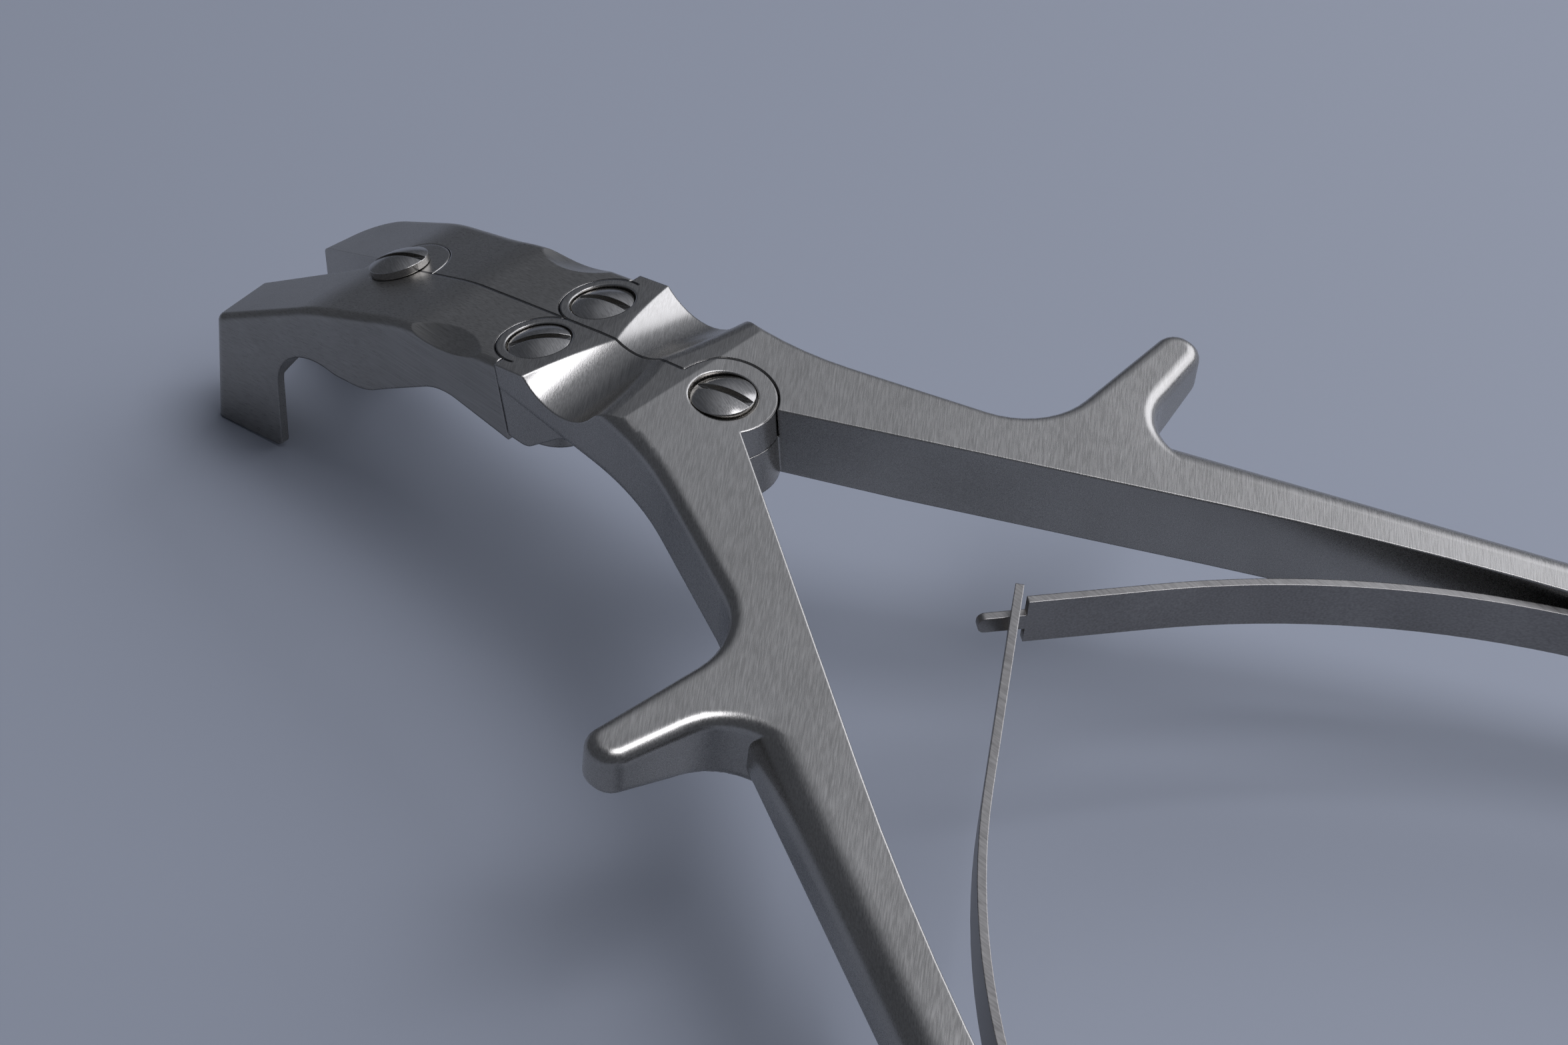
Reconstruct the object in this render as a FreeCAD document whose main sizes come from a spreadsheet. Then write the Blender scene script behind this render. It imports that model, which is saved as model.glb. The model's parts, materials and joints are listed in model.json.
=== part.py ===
import FreeCAD, Part
import math
import os

import Sketcher

# Double-action rib shears in millimetres. The model is drawn in the instrument's own frame: the
# proximal pivot is at x = 0, the handles run to +X, the jaws to -X, and the flat top of the handles
# is z = 0. Side A is at -Y and side B at +Y. At the end every piece gets the same placement, which
# lays the shears on a table, resting on the tips of the jaws and the ends of the handles.

SIZES = {
    # The four pivots. Their axes all meet in one point deep below the tool, so the curved head
    # works as a spherical four-bar linkage.
    "centre_back": 24.7,
    "centre_depth": 156.1,
    "link_reach": 22.1,
    "link_side": 4.64,
    "link_drop": 5.2,
    "distal_reach": 49.0,
    "distal_drop": 14.4,
    "lap_depth": 4.4,
    "open_angle": 12.3,
    # Ears and screws
    "proximal_ear": 5.6,
    "distal_ear": 5.6,
    "link_ear": 4.6,
    "ear_gap": 0.12,
    "face_gap": 0.05,
    "head_radius": 3.39,
    "head_ring": 0.22,
    "head_sink": 0.9,
    "head_dome": 0.75,
    "shank_radius": 2.0,
    "shank_gap": 0.08,
    "thread_gap": 0.03,
    "slot_width": 0.9,
    "slot_depth": 0.8,
    "pivot_screw_length": 8.4,
    "proximal_slot_angle": 14.0,
    "link_a_slot_angle": 45.0,
    "link_b_slot_angle": 12.0,
    "distal_slot_angle": 20.0,
    "bore_clear": 3.0,
    # Handles
    "grip_depth": 8.8,
    "grip_width": 5.9,
    "grip_bend": 352.0,
    "grip_start_angle": 31.6,
    "grip_far_angle": 25.4,
    "grip_end_angle": 4.3,
    "grip_tail": 3.0,
    "grip_line_x": 44.0,
    "grip_line_y": 26.5,
    "grip_round": 3.4,
    "front_round": 1.5,
    "end_spare": 0.15,
    "bar_overlap": 1.0,
    "front_overlap": 15.0,
    "split_gap": 0.05,
    "wall_side": 10.6,
    "butt_forward": 0.6,
    "butt_gap": 0.3,
    "shoulder_x": -1.0,
    "shoulder_y": 11.0,
    "shoulder_round": 35.0,
    "spur_front_x": 25.0,
    "spur_front_y": 22.0,
    "spur_front_round": 9.0,
    "spur_tip_x": 23.5,
    "spur_tip_y": 43.9,
    "spur_tip_width": 4.8,
    "spur_tip_rise": 3.4,
    "spur_rise_start": 30.0,
    "spur_rise_round": 60.0,
    "spur_root_x": 31.1,
    "spur_root_y": 29.4,
    "spur_root_round": 6.5,
    "block_end": -3.0,
    "block_full": -10.0,
    "block_bottom": 15.4,
    "keel_x": -17.2,
    "keel_z": -13.2,
    "keel_round": 2.5,
    "arch_x": -12.0,
    "arch_z": -8.0,
    "arch_round": 3.0,
    "deck_start": -4.3,
    "deck_x": -17.8,
    "deck_drop": 3.6,
    "valley_radius": 7.0,
    "valley_blend": 4.0,
    "valley_x": -13.9,
    "valley_rise": 4.0,
    "valley_angle": 12.2,
    # Jaws
    "nose_reach": 18.1,
    "nose_width": 9.6,
    "nose_corner_a": 1.2,
    "nose_corner_b": 5.5,
    "jaw_wall_x": -40.0,
    "jaw_wall_side": 10.4,
    "jaw_wall_round": 30.0,
    "neck_x": -37.0,
    "neck_round": 30.0,
    "crown_x": -51.0,
    "crown_z": -16.3,
    "crown_slope": 34.5,
    "prong_bottom": 41.2,
    "prong_heel_x": -54.6,
    "prong_heel_z": -39.3,
    "throat_x": -55.9,
    "throat_z": -21.7,
    "throat_round": 6.5,
    "prong_heel_round": 0.8,
    "belly_x": -46.9,
    "belly_z": -23.4,
    "belly_round": 4.0,
    "waist_x": -42.3,
    "waist_z": -22.9,
    "waist_round": 6.0,
    "arm_x": -31.0,
    "arm_z": -14.2,
    "arm_round": 8.0,
    "beak_wall": 1.0,
    "beak_front": 3.3,
    "beak_edge": 3.2,
    "beak_drop": 6.5,
    "beak_start": 4.6,
    "hollow_past": 1.0,
    "hollow_lift": 0.6,
    "scoop_x": -35.8,
    "scoop_side": 15.6,
    "scoop_z": 7.6,
    "scoop_radius": 18.0,
    "jaw_round_a": 1.0,
    "jaw_round_b": 1.4,
    # Springs
    "strip_width": 5.6,
    "strip_thickness": 0.9,
    "spring_bend": 100.0,
    "spring_a_tip_angle": 54.5,
    "spring_b_tip_angle": 55.8,
    "spring_a_seat_angle": 21.0,
    "spring_b_seat_angle": 22.2,
    "spring_end_angle": 18.2,
    "spring_gap": 0.08,
    "spring_a_tip_x": 37.4,
    "spring_a_tip_y": -4.2,
    "spring_b_tip_x": 36.6,
    "spring_b_tip_y": -0.85,
    "spring_tail": 1.5,
    "tongue_height": 1.9,
    "tongue_length": 4.9,
    "tongue_round": 0.8,
    "window_length": 3.2,
    "window_height": 2.5,
    "window_start": 0.7,
    "spring_screw_angle": 19.3,
    "spring_screw_head": 2.2,
    "spring_screw_shank": 1.2,
    "spring_screw_rise": 0.8,
    "spring_screw_length": 4.0,
    "spring_slot_width": 0.6,
    "spring_slot_angle": 30.0,
}


class Size:
    """A number together with the sheet formula that gives it."""

    def __init__(self, value, text=None):
        self.value = float(value)
        self.text = text if text else repr(float(value))

    @staticmethod
    def of(other):
        return other if isinstance(other, Size) else Size(other)

    def __add__(self, other):
        other = Size.of(other)
        return Size(self.value + other.value, f"({self.text} + {other.text})")

    def __sub__(self, other):
        other = Size.of(other)
        return Size(self.value - other.value, f"({self.text} - {other.text})")

    def __mul__(self, other):
        other = Size.of(other)
        return Size(self.value * other.value, f"({self.text} * {other.text})")

    def __truediv__(self, other):
        other = Size.of(other)
        return Size(self.value / other.value, f"({self.text} / {other.text})")

    def __neg__(self):
        return Size(-self.value, f"(0 - {self.text})")

    __radd__ = __add__
    __rmul__ = __mul__

    def __rsub__(self, other):
        return Size.of(other) - self


def sine(angle):
    return Size(math.sin(math.radians(angle.value)), f"sin({angle.text})")


def cosine(angle):
    return Size(math.cos(math.radians(angle.value)), f"cos({angle.text})")


def tangent(angle):
    return Size(math.tan(math.radians(angle.value)), f"tan({angle.text})")


def arctangent(ratio):
    return Size(math.degrees(math.atan(ratio.value)), f"(atan({ratio.text}) / 1 deg)")


def root(value):
    return Size(math.sqrt(value.value), f"sqrt({value.text})")


doc = FreeCAD.newDocument("RibShears")
sheet = doc.addObject("Spreadsheet::Sheet", "Sizes")


class Names:
    """The driving sizes by name, each tied to its cell."""


size = Names()
for row, (alias, number) in enumerate(SIZES.items(), start=1):
    sheet.set(f"A{row}", alias)
    sheet.set(f"B{row}", str(number))
    sheet.setAlias(f"B{row}", alias)
    setattr(size, alias, Size(number, f"Sizes.{alias}"))
doc.recompute()

V = FreeCAD.Vector


def vector_text(x, y, z):
    return f"vector({Size.of(x).text}; {Size.of(y).text}; {Size.of(z).text})"


class Pivot:
    """A pivot on top of the tool, with the direction of its axis and a frame for sketches."""

    def __init__(self, x, y, z):
        self.x = Size.of(x)
        self.y = Size.of(y)
        self.z = Size.of(z)
        across = self.x - size.centre_back
        rise = self.z + size.centre_depth
        flat = root(across * across + self.y * self.y)
        length = root(across * across + self.y * self.y + rise * rise)
        self.direction = (across / length, self.y / length, rise / length)
        self.angle = arctangent(flat / rise)

    def frame(self, depth):
        """Placement formula of a plane square to the axis, at this depth below the deck."""
        nx, ny, nz = self.direction
        base = vector_text(self.x - nx * depth, self.y - ny * depth, self.z - nz * depth)
        return f"placement({base}; rotation({vector_text(-ny, nx, 0)}; {self.angle.text}))"


def make_pivots():
    link_z = -size.link_drop
    return {
        "proximal": Pivot(0, 0, 0),
        "link_a": Pivot(-size.link_reach, -size.link_side, link_z),
        "link_b": Pivot(-size.link_reach, size.link_side, link_z),
        "distal": Pivot(-size.distal_reach, 0, -size.distal_drop),
    }


def new_body(name):
    body = doc.addObject("PartDesign::Body", name)
    body.Label = name
    return body


def new_sketch(body, name, role="XY_Plane", frame=None):
    """A sketch on one of the body's origin planes, moved by a placement formula."""
    sketch = body.newObject("Sketcher::SketchObject", f"{body.Name}_{name}")
    plane = next(item for item in body.Origin.OriginFeatures if item.Role == role)
    sketch.AttachmentSupport = [(plane, "")]
    sketch.MapMode = "FlatFace"
    if frame:
        sketch.setExpression("AttachmentOffset", frame)
    return sketch


def bind(sketch, bindings):
    """Give each constraint in the list the formula of its size."""
    for index, formula in bindings:
        sketch.setExpression(f"Constraints[{index}]", formula.text)


def draw_circle(sketch, radius, x=Size(0), y=Size(0)):
    centre = V(x.value, y.value, 0)
    circle = sketch.addGeometry(Part.Circle(centre, V(0, 0, 1), radius.value), False)
    C = Sketcher.Constraint
    first = sketch.addConstraint([
        C("Radius", circle, radius.value),
        C("DistanceX", -1, 1, circle, 3, x.value),
        C("DistanceY", -1, 1, circle, 3, y.value),
    ])[0]
    bind(sketch, [(first, radius), (first + 1, x), (first + 2, y)])


def draw_outline(sketch, corners):
    """A closed outline of straight lines whose corners (x, y, radius) are rounded by arcs."""
    C = Sketcher.Constraint
    corners = [(Size.of(x), Size.of(y), Size.of(r)) for x, y, r in corners]
    points = [V(x.value, y.value, 0) for x, y, _ in corners]
    count = len(corners)
    ends = []
    for i, (_, _, radius) in enumerate(corners):
        back = (points[i - 1] - points[i]).normalize()
        ahead = (points[(i + 1) % count] - points[i]).normalize()
        half = back.getAngle(ahead) / 2
        reach = radius.value / math.tan(half) if radius.value else 0.0
        middle = points[i]
        if radius.value:
            middle = points[i] + (back + ahead).normalize() * (radius.value / math.sin(half))
        ends.append((points[i] + back * reach, points[i] + ahead * reach, middle))
    lines = [Part.LineSegment(ends[i][1], ends[(i + 1) % count][0]) for i in range(count)]
    line = list(sketch.addGeometry(lines, False))
    rules = []
    formulas = []
    for i, (x, y, radius) in enumerate(corners):
        before, after = line[i - 1], line[i]
        if not radius.value:
            rules.append(C("Coincident", before, 2, after, 1))
            place, spot = after, 1
        else:
            start, end, middle = ends[i]
            turn = (points[i] - points[i - 1]).cross(points[(i + 1) % count] - points[i]).z
            a = math.atan2(start.y - middle.y, start.x - middle.x)
            b = math.atan2(end.y - middle.y, end.x - middle.x)
            circle = Part.Circle(middle, V(0, 0, 1), radius.value)
            arc = Part.ArcOfCircle(circle, a, b) if turn > 0 else Part.ArcOfCircle(circle, b, a)
            arc = sketch.addGeometry(arc, False)
            first, last = (1, 2) if turn > 0 else (2, 1)
            place, spot = sketch.addGeometry(Part.Point(points[i]), True), 1
            rules += [
                C("Tangent", before, 2, arc, first),
                C("Tangent", arc, last, after, 1),
                C("PointOnObject", place, 1, before),
                C("PointOnObject", place, 1, after),
            ]
            formulas.append((len(rules), radius))
            rules.append(C("Radius", arc, radius.value))
        formulas.append((len(rules), x))
        rules.append(C("DistanceX", -1, 1, place, spot, x.value))
        formulas.append((len(rules), y))
        rules.append(C("DistanceY", -1, 1, place, spot, y.value))
    sketch.addConstraint(rules)
    bind(sketch, formulas)


def add_feature(body, kind, name, sketch, length=None, reverse=False, both=False):
    """A pad or pocket of a sketch: a length, or right through where none is given."""
    feature = body.newObject(f"PartDesign::{kind}", f"{body.Name}_{name}")
    feature.Profile = sketch
    feature.Reversed = reverse
    if both:
        feature.SideType = "Symmetric"
    if length is None:
        feature.Type = "ThroughAll"
    else:
        feature.setExpression("Length", Size.of(length).text)
    return feature


def disc(body, kind, name, pivot, depth, radius, length, reverse):
    """A round pad or pocket square to a pivot's axis."""
    sketch = new_sketch(body, f"{name}_circle", frame=pivot.frame(depth))
    draw_circle(sketch, radius)
    return add_feature(body, kind, name, sketch, length, reverse)


def edges_where(feature, test):
    """Names of the edges whose middle point passes a test."""
    names = []
    for index, edge in enumerate(feature.Shape.Edges, start=1):
        middle = edge.valueAt((edge.FirstParameter + edge.LastParameter) / 2)
        if test(middle, edge):
            names.append(f"Edge{index}")
    return names


def round_edges(body, name, radius, test):
    """Fillet the edges that pass a test."""
    doc.recompute()
    base = body.Tip
    names = edges_where(base, test)
    fillet = body.newObject("PartDesign::Fillet", f"{body.Name}_{name}")
    fillet.Base = (base, names)
    fillet.setExpression("Radius", radius.text)
    doc.recompute()
    return fillet


# How far the cutting outlines reach past the solids.
DEEP = Size(24.0)
# Two arcs that nearly meet leave this share of their radius, so that a short line stays between them.
NEARLY = 0.98


def grip_centre():
    """Centre of the arc along which both edges of a handle bend."""
    start = size.grip_start_angle
    return (size.grip_line_x + size.grip_bend * sine(start),
            size.grip_line_y - size.grip_bend * cosine(start))


def on_grip(angle, radius):
    """The point of a grip arc where it runs at this angle to the X axis."""
    cx, cy = grip_centre()
    return cx - radius * sine(angle), cy + radius * cosine(angle)


def past_grip(radius):
    """The end of a handle's edge, a short straight way past its arc."""
    x, y = on_grip(size.grip_end_angle, radius)
    return x + size.grip_tail * cosine(size.grip_end_angle), y + size.grip_tail * sine(size.grip_end_angle)


def between(first, second, radius):
    """Where the tangents of a grip arc at two angles cross."""
    middle = (first + second) / 2
    reach = radius / cosine((first - second) / 2)
    return on_grip(middle, reach)


def inner_line(x):
    """Height of the straight inner edge of a handle at x."""
    return size.grip_line_y + (x - size.grip_line_x) * tangent(size.grip_start_angle)


def outer_radius():
    return size.grip_bend + size.grip_width


def bar_outline(hand):
    """Plan of a handle's grip, from inside the front block to the far end."""
    inner_x, inner_y = between(size.grip_start_angle, size.grip_end_angle, size.grip_bend)
    end_x, end_y = past_grip(size.grip_bend)
    far_x, far_y = past_grip(outer_radius())
    outer_x, outer_y = between(size.grip_far_angle, size.grip_end_angle, outer_radius())
    front = size.spur_root_x + size.bar_overlap
    near_x, near_y = on_grip(size.grip_far_angle, outer_radius())
    near_y = near_y - (near_x - front) * tangent(size.grip_far_angle)
    corners = [
        (front, inner_line(front), 0),
        (inner_x, inner_y, size.grip_bend),
        (end_x, end_y, 0),
        (far_x, far_y, 0),
        (outer_x, outer_y, outer_radius()),
        (front, near_y, 0),
    ]
    return [(x, y * hand, r) for x, y, r in corners]


def front_outline(hand):
    """Plan of the front of a handle: the pivot block and the finger spur."""
    start = size.grip_line_x - size.grip_line_y / tangent(size.grip_start_angle)
    back = size.spur_root_x + size.front_overlap
    tip_round = size.spur_tip_width / 2 * NEARLY
    corners = [
        (-size.link_reach - size.grip_width, size.split_gap, 0),
        (start, size.split_gap, 0),
        (back, inner_line(back), 0),
        (back, inner_line(back) + size.grip_width / 2, 0),
        (size.spur_root_x, size.spur_root_y, size.spur_root_round),
        (size.spur_tip_x + size.spur_tip_width, size.spur_tip_y, tip_round),
        (size.spur_tip_x, size.spur_tip_y, tip_round),
        (size.spur_front_x, size.spur_front_y, size.spur_front_round),
        (size.shoulder_x, size.shoulder_y, size.shoulder_round),
        (-size.link_reach - size.grip_width, size.wall_side, 0),
    ]
    return [(x, y * hand, r) for x, y, r in corners]


def block_outline(hand):
    """Plan of the deeper block ahead of the proximal pivot. Its side fades into the rounded plate."""
    corners = [
        (-size.link_reach - size.grip_width, size.split_gap, 0),
        (size.block_end, size.split_gap, 0),
        (size.block_end, size.wall_side - size.front_round, 0),
        (size.block_full, size.wall_side, 0),
        (-size.link_reach - size.grip_width, size.wall_side, 0),
    ]
    return [(x, y * hand, r) for x, y, r in corners]


def link_lean():
    """Lean of the link pivots' axes in side view, as a ratio."""
    return (size.link_reach + size.centre_back) / (size.centre_depth - size.link_drop)


def butt_outline(front):
    """Side view of what lies ahead of the butt plane, or behind it for the jaws."""
    lean = link_lean()
    x = -size.link_reach - size.butt_forward
    gap = size.butt_gap / 2
    x = x + gap if front else x - gap
    high = DEEP - size.link_drop
    low = DEEP + size.link_drop
    top = x - lean * (high + size.link_drop)
    bottom = x + lean * (low - size.link_drop)
    away = x - DEEP * 2 if front else x + DEEP * 4
    return [(top, high, 0), (bottom, -low, 0), (away, -low, 0), (away, high, 0)]


def handle_top():
    """Side view of what is cut away above a handle: the deck that slopes down to the links."""
    x = size.deck_x
    ahead = x - DEEP
    back = size.proximal_ear * 3
    return [(back, 0, 0), (size.deck_start, 0, 0), (x, -size.deck_drop, 0),
            (ahead, -size.deck_drop - DEEP * link_lean(), 0), (ahead, DEEP, 0), (back, DEEP, 0)]


def handle_bottom():
    """Side view of what is cut away below a handle."""
    back = size.proximal_ear * 3
    front = size.deck_x - DEEP
    low = -DEEP * 2
    return [(back, -size.grip_depth, 0), (size.arch_x, size.arch_z, size.arch_round),
            (size.keel_x, size.keel_z, size.keel_round),
            (front, -size.block_bottom, 0), (front, low, 0), (back, low, 0)]


def spur_bottom():
    """View along the tool of what is cut away below a finger spur, towards its thinner tip."""
    start = size.spur_rise_start
    slope = size.spur_tip_rise / (size.spur_tip_y - start)
    near = start - size.spur_rise_start / 2
    far = size.spur_tip_y + size.spur_tip_width
    return [(near, -size.grip_depth, 0), (start, -size.grip_depth, size.spur_rise_round),
            (far, -size.grip_depth + (far - start) * slope, 0), (far, -DEEP, 0), (near, -DEEP, 0)]


def level_frame(depth):
    """Placement formula of a level plane at this depth below the flat top of the handles."""
    return f"placement({vector_text(0, 0, -depth)}; rotation(vector(0; 0; 1); 0))"


def is_rim(point):
    """Whether a point lies on the flat top or bottom of a handle, or under its finger spur."""
    bottom = -size.grip_depth.value
    past = abs(point.y) > size.spur_rise_start.value / 2
    return abs(point.z) < 0.01 or abs(point.z - bottom) < 0.01 or (past and point.z < bottom / 2)


def is_level(edge):
    """Whether an edge runs along the rim and not up a wall or across the underside."""
    first, last = (edge.valueAt(t) for t in (edge.FirstParameter, edge.LastParameter))
    across = abs(first.y - last.y) < 0.01 and abs(first.z - last.z) < 0.01
    upright = abs(first.x - last.x) < 0.01 and abs(first.y - last.y) < 0.01
    return not upright and not (across and abs(first.y) > size.spur_rise_start.value / 2)


def is_outside(point):
    """Whether a point lies outside the straight inner edge of a handle, past its middle."""
    inner = inner_line(Size(point.x)).value
    return abs(point.y) > max(inner, size.split_gap.value) + 1.0 and abs(point.y) > 3.0


def trim_split(body, hand, back, length):
    """Cut what stands past the split plane beside a link pivot, from x = back forward."""
    front = back - length
    past = -size.link_ear * hand
    edge = size.split_gap * hand
    sketch = new_sketch(body, "split", frame=level_frame(-DEEP))
    draw_outline(sketch, [(back, edge, 0), (front, edge, 0), (front, past, 0), (back, past, 0)])
    add_feature(body, "Pocket", "split_cut", sketch, DEEP * 4)


def make_handle(name, hand, upper):
    """A handle: grip, finger spur, pivot block, and its ears at the proximal and link pivots."""
    front = new_body(f"{name}_front")
    sketch = new_sketch(front, "plan")
    draw_outline(sketch, front_outline(hand))
    add_feature(front, "Pad", "plate", sketch, size.grip_depth, reverse=True)
    sketch = new_sketch(front, "spur", "YZ_Plane")
    draw_outline(sketch, [(y * hand, z, r) for y, z, r in spur_bottom()])
    add_feature(front, "Pocket", "spur_cut", sketch, DEEP * 4, both=True)
    round_edges(front, "rounding", size.front_round,
                lambda point, edge: is_rim(point) and is_outside(point) and is_level(edge))
    body = new_body(name)
    sketch = new_sketch(body, "plan")
    draw_outline(sketch, bar_outline(hand))
    add_feature(body, "Pad", "grip", sketch, size.grip_depth, reverse=True)
    middle = size.grip_bend.value + size.grip_width.value / 2
    cx, cy = grip_centre()

    def is_outer(point, edge):
        reach = math.hypot(point.x - cx.value, abs(point.y) - cy.value)
        return is_rim(point) and reach > middle and edge.Length > 2 * size.grip_width.value

    round_edges(body, "rounding", size.grip_round, is_outer)
    join = body.newObject("PartDesign::Boolean", f"{name}_join")
    join.Type = "Fuse"
    join.setObjects([front])
    sketch = new_sketch(body, "block_plan", frame=level_frame(size.grip_depth / 2))
    draw_outline(sketch, block_outline(hand))
    add_feature(body, "Pad", "block", sketch, DEEP, reverse=True)
    sketch = new_sketch(body, "butt", "XZ_Plane")
    draw_outline(sketch, butt_outline(True))
    add_feature(body, "Pocket", "butt_cut", sketch, DEEP * 4, both=True)
    link = pivots["link_a"] if hand < 0 else pivots["link_b"]
    proximal = pivots["proximal"]
    gap = size.face_gap / 2
    disc(body, "Pad", "link_ear", link, size.lap_depth - gap, size.link_ear, DEEP, False)
    disc(body, "Pocket", "link_recess", link, size.lap_depth - gap,
         size.link_ear + size.ear_gap, DEEP, False)
    trim_split(body, hand, -size.link_reach + size.grip_width, DEEP)
    if upper:
        disc(body, "Pad", "proximal_ear", proximal, size.lap_depth - gap, size.proximal_ear, DEEP, False)
        disc(body, "Pocket", "proximal_recess", proximal, size.lap_depth - gap,
             size.proximal_ear + size.ear_gap, DEEP, False)
    else:
        disc(body, "Pad", "proximal_ear", proximal, size.lap_depth + gap, size.proximal_ear, DEEP, True)
        disc(body, "Pocket", "proximal_recess", proximal, size.lap_depth + gap,
             size.proximal_ear + size.ear_gap, DEEP, True)
    sketch = new_sketch(body, "top", "XZ_Plane")
    draw_outline(sketch, handle_top())
    add_feature(body, "Pocket", "top_cut", sketch, DEEP * 4, both=True)
    sketch = new_sketch(body, "bottom", "XZ_Plane")
    draw_outline(sketch, handle_bottom())
    add_feature(body, "Pocket", "bottom_cut", sketch, DEEP * 4, both=True)
    sketch = new_sketch(body, "valley", "XZ_Plane", valley_frame(hand))
    draw_circle(sketch, size.valley_radius)
    add_feature(body, "Pocket", "valley_cut", sketch, DEEP * 4, both=True)
    round_edges(body, "valley_blend", size.valley_blend, lambda point, edge: is_valley_rear(point, hand))
    trim_end(body, hand)
    bore(body, "link_bore", link, True)
    bore(body, "proximal_bore", proximal, upper)
    sketch = new_sketch(body, "spring_hole", frame=inward_frame(hand, size.spring_screw_angle, size.grip_bend))
    draw_circle(sketch, size.spring_screw_shank + size.thread_gap)
    add_feature(body, "Pocket", "spring_bore", sketch, size.spring_screw_length)
    doc.recompute()
    return body


def jaw_outline(hand, corner):
    """Plan of a jaw in its open place: its nose stands square to its own inner face."""
    inner_x = -size.distal_reach - size.nose_reach * cosine(size.open_angle)
    inner_y = size.nose_reach * sine(size.open_angle)
    outer_x = inner_x + size.nose_width * sine(size.open_angle)
    outer_y = inner_y + size.nose_width * cosine(size.open_angle)
    past = size.nose_width / 2
    back = -size.link_reach + size.grip_width
    corners = [
        (back, size.split_gap, 0),
        (-size.distal_reach, size.split_gap, 0),
        (inner_x - past * sine(size.open_angle), inner_y - past * cosine(size.open_angle), 0),
        (outer_x, outer_y, corner),
        (size.jaw_wall_x, size.jaw_wall_side, size.jaw_wall_round),
        (back, size.wall_side, 0),
    ]
    return [(x, y * hand, r) for x, y, r in corners]


def bite_outline(hand):
    """What is cut past a jaw's inner face, seen along the distal axis from the pivot."""
    far = size.nose_reach * 3
    angle = size.open_angle
    corners = [
        (0, size.split_gap, 0),
        (-far * cosine(angle) - size.split_gap * sine(angle), far * sine(angle) + size.split_gap, 0),
        (-far * cosine(angle), -far / 2, 0),
        (0, -far / 2, 0),
    ]
    return [(x, y * hand, r) for x, y, r in corners]


def crown_z(x):
    """Height of the jaws' top ahead of the distal pivot."""
    return size.crown_z - (size.crown_x - x) * tangent(size.crown_slope)


def jaw_top():
    """Side view of what is cut away above a jaw."""
    slope = link_lean()
    back = Size(0.0)
    ahead = -size.distal_reach - size.nose_reach - size.nose_width
    return [
        (back, -size.deck_drop - (size.deck_x - back) * slope, 0),
        (size.neck_x, -size.deck_drop - (size.deck_x - size.neck_x) * slope, size.neck_round),
        (size.crown_x, size.crown_z, size.neck_round),
        (ahead, crown_z(ahead), 0),
        (ahead, DEEP, 0),
        (back, DEEP, 0),
    ]


def jaw_bottom():
    """Side view of what is cut away below a jaw: rear belly, throat, and the tip of the prong."""
    back = Size(0.0)
    ahead = -size.distal_reach - size.nose_reach - size.bar_overlap
    low = -DEEP * 3
    return [
        (back, size.arm_z, 0),
        (size.arm_x, size.arm_z, size.arm_round),
        (size.waist_x, size.waist_z, size.waist_round),
        (size.belly_x, size.belly_z, size.belly_round),
        (size.throat_x, size.throat_z, size.throat_round),
        (size.prong_heel_x, size.prong_heel_z, size.prong_heel_round),
        (ahead, -size.prong_bottom, 0),
        (ahead, low, 0),
        (back, low, 0),
    ]


def hollow(body, hand):
    """The wedge-shaped hollow inside the beak, open to the inner side and downward."""
    start = size.beak_start
    end = size.nose_reach - size.beak_front
    low = -DEEP * 3

    def section(name, base_x, base_y, turn, drop):
        frame = (f"placement({vector_text(base_x, 0, -base_y * hand)}; "
                 f"rotation(vector(0; 1; 0); {(turn * hand).text}))")
        sketch = new_sketch(body, name, "XZ_Plane", frame)
        roof_start = crown_z(base_x - start) - size.beak_edge - drop
        roof_end = crown_z(base_x - end) - size.beak_edge - drop
        draw_outline(sketch, [(-start, roof_start, 0), (-end, roof_end, 0), (-end, low, 0), (-start, low, 0)])
        return sketch

    flare = flare_angle()
    wall_x = -size.distal_reach
    wall_y = size.jaw_wall_side + (size.jaw_wall_x - wall_x) * tangent(flare) - size.beak_wall
    inner = section("hollow_inner", -size.distal_reach, -size.hollow_past, -size.open_angle, -size.hollow_lift)
    outer = section("hollow_outer", wall_x, wall_y, -flare, size.beak_drop)
    loft = body.newObject("PartDesign::SubtractiveLoft", f"{body.Name}_hollow")
    loft.Profile = inner
    loft.Sections = [outer]
    loft.Ruled = True


def flare_angle():
    """Angle by which a jaw's outer wall flares towards the nose."""
    reach = size.jaw_wall_x + size.distal_reach + size.nose_reach * cosine(size.open_angle)
    reach = reach - size.nose_width * sine(size.open_angle)
    rise = size.nose_reach * sine(size.open_angle) + size.nose_width * cosine(size.open_angle)
    return arctangent((rise - size.jaw_wall_side) / reach)


def is_jaw_shoulder(point, edge):
    """Whether a point lies on the outer edge of a jaw's top, between the nose and the butt."""
    deck = -size.deck_drop.value - (size.deck_x.value - point.x) * link_lean().value
    top = min(deck, crown_z(Size(point.x)).value)
    outside = abs(point.y) > size.jaw_wall_side.value - size.beak_wall.value
    return outside and abs(point.z - top) < 1.5 and point.x < -size.link_reach.value - size.link_ear.value


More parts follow.
